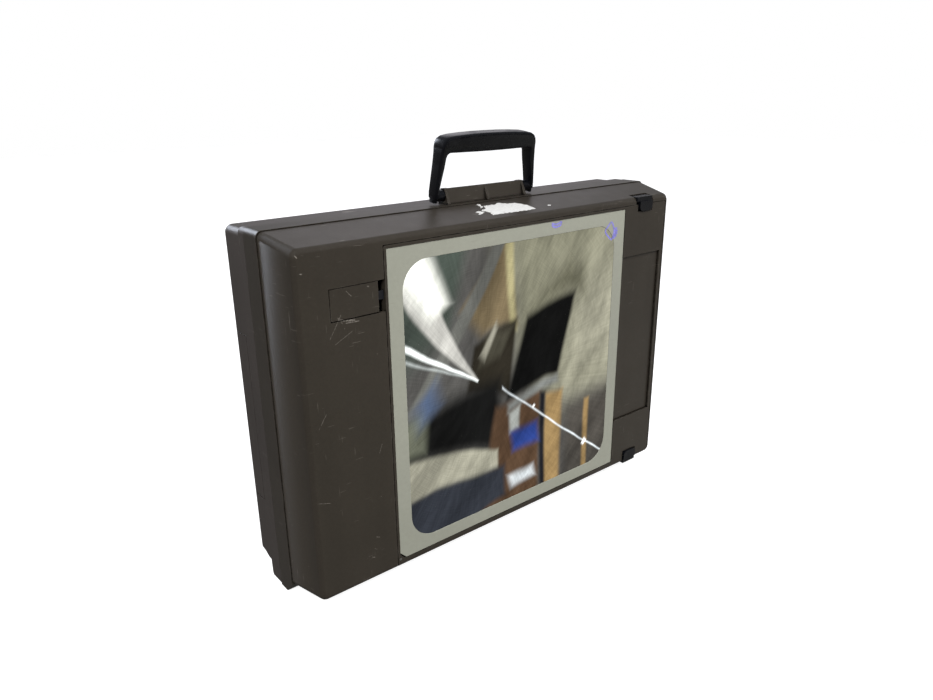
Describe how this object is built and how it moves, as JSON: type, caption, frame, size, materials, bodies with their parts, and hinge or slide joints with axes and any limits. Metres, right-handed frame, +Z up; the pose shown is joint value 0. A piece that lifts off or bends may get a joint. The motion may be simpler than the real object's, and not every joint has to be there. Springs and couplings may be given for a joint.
{
  "type": "portable overhead projector",
  "caption": "Portable reflective overhead projector folded shut as a flat case, with a mirror stage door, carrying handle, latch button, cord compartment and folded arm and head inside.",
  "frame": {"origin": "bottom centre of the closed case standing on its long side, on the plane its feet rest on", "axes": "+X along the case towards the stage door's hinges, +Y from the stage face towards the back, +Z up to the carrying handle"},
  "size_m": [0.497, 0.1212, 0.4261],
  "materials": {
    "case_brown": "fine-textured moulded shell",
    "inner_brown": "matt moulded inner parts",
    "ink_plastic": "smooth near-black moulding",
    "rubber_black": "soft matt rubber",
    "border_grey": "grey-green printed border",
    "fresnel": "reflective ringed sheet",
    "front_mirror": "front-silvered glass",
    "backing": "thin backing board",
    "steel": "zinc-plated steel",
    "arm_metal": "satin anodised",
    "arm_black": "black powder coat",
    "core_iron": "stacked laminations",
    "coil_amber": "varnished winding and tape",
    "terminal_cream": "moulded terminal strip",
    "brass": "plated blades",
    "switch_black": "rocker",
    "lens_glass": "polished optical glass",
    "filter_glass": "heat-absorbing glass",
    "lamp_glass": "quartz capsule",
    "ceramic_white": "glazed socket",
    "reflector_metal": "polished dish",
    "cutout_blue": "thermal switch",
    "motor_grey": "motor can"
  },
  "bodies": {
    "case": {"front_shell": "case_brown", "mid_frame": "case_brown", "rear_cover": "case_brown", "cord_well": "inner_brown", "cord_door_pin": "steel", "foot_pads": "rubber_black", "back_feet": "rubber_black", "case_screws": "steel", "handle_bracket": "case_brown", "handle_pins": "ink_plastic", "hinge_clips": "ink_plastic", "hinge_pins": "steel", "latch_guide": "steel", "chassis_plate": "steel", "chassis_screws": "steel", "transformer_core": "core_iron", "transformer_coil": "coil_amber", "transformer_straps": "steel", "terminal_block": "terminal_cream", "power_inlet": "ink_plastic", "inlet_blades": "brass", "switch_body": "ink_plastic", "fuse_holder": "ink_plastic", "arm_base": "steel", "arm_pin": "steel", "latch_spring": "steel"},
    "handle": {"carry_handle": "ink_plastic"},
    "door": {"stage_door": "case_brown", "stage_border": "border_grey", "fresnel_mirror": "fresnel", "mirror_backing": "backing", "border_screw": "steel", "door_keeper": "steel"},
    "latch": {"latch_button": "case_brown"},
    "cord_flap": {"cord_door": "case_brown"},
    "rocker": {"power_switch": "switch_black"},
    "arm": {"arm_tube": "arm_black"},
    "arm_extension": {"arm_slide": "arm_metal", "head_pin": "steel"},
    "head": {"head_housing": "inner_brown", "head_cover": "inner_brown", "head_screws": "steel", "mirror_pin": "steel", "lamp": "lamp_glass", "lamp_socket": "ceramic_white", "lamp_reflector": "reflector_metal", "condenser_lens": "lens_glass", "heat_filter": "filter_glass", "fan_motor": "motor_grey", "thermal_cutout": "cutout_blue"},
    "lens": {"lens_barrel": "ink_plastic", "lens_elements": "lens_glass"},
    "knob": {"focus_knob": "ink_plastic"},
    "flap": {"mirror_frame": "inner_brown", "projection_mirror": "front_mirror"},
    "fan": {"fan_rotor": "ink_plastic"}
  },
  "joints": [
    {"name": "handle_pivot", "type": "hinge", "parent": "case", "child": "handle", "pos_m": [0.008, 0.0018, 0.366], "axis": [1, 0, 0], "range_deg": [-92.5, 77.5]},
    {"name": "stage_door_hinge", "type": "hinge", "parent": "case", "child": "door", "pos_m": [0.198, -0.0556, 0.18], "axis": [0, 0, 1], "range_deg": [0, 105]},
    {"name": "latch_press", "type": "slide", "parent": "case", "child": "latch", "axis": [0, 1, 0], "range_m": [0, 0.003], "stiffness_N_per_m": 400, "deforming": ["latch_spring"]},
    {"name": "cord_door_hinge", "type": "hinge", "parent": "case", "child": "cord_flap", "pos_m": [-0.142, 0.0578, 0.172], "axis": [0, 0, -1], "range_deg": [0, 110]},
    {"name": "power_rocker", "type": "hinge", "parent": "case", "child": "rocker", "pos_m": [0.241, 0.0424, 0.11], "axis": [0, 1, 0], "range_deg": [0, 14]},
    {"name": "arm_raise", "type": "hinge", "parent": "case", "child": "arm", "pos_m": [0.15, 0.0114, 0.18], "axis": [0, 0, 1], "range_deg": [0, 72]},
    {"name": "arm_extend", "type": "slide", "parent": "arm", "child": "arm_extension", "axis": [-1, 0, 0], "range_m": [0, 0.09]},
    {"name": "head_level", "type": "hinge", "parent": "arm_extension", "child": "head", "pos_m": [-0.039, 0.0114, 0.18], "axis": [0, 0, 1], "range_deg": [-72, 0]},
    {"name": "lens_focus", "type": "slide", "parent": "head", "child": "lens", "axis": [0, -1, 0], "range_m": [0, 0.01]},
    {"name": "focus_turn", "type": "hinge", "parent": "head", "child": "knob", "pos_m": [-0.052, 0.0014, 0.13207], "axis": [1, 0, 0], "range_deg": [0, 118]},
    {"name": "mirror_tilt", "type": "hinge", "parent": "head", "child": "flap", "pos_m": [-0.1355, -0.0376, 0.165], "axis": [0, 0, -1], "range_deg": [0, 45]},
    {"name": "fan_spin", "type": "hinge", "parent": "head", "child": "fan", "pos_m": [-0.094, 0.0094, 0.12], "axis": [0, 0, 1], "continuous": true}
  ],
  "couplings": [
    {"joint": "arm_raise", "follows": "stage_door_hinge", "ratio": 0.68565},
    {"joint": "arm_extend", "follows": "stage_door_hinge", "m_per_rad": 0.049106},
    {"joint": "head_level", "follows": "stage_door_hinge", "ratio": -0.68565},
    {"joint": "mirror_tilt", "follows": "stage_door_hinge", "ratio": 0.42853},
    {"joint": "focus_turn", "follows": "lens_focus", "rad_per_m": 204.08}
  ]
}
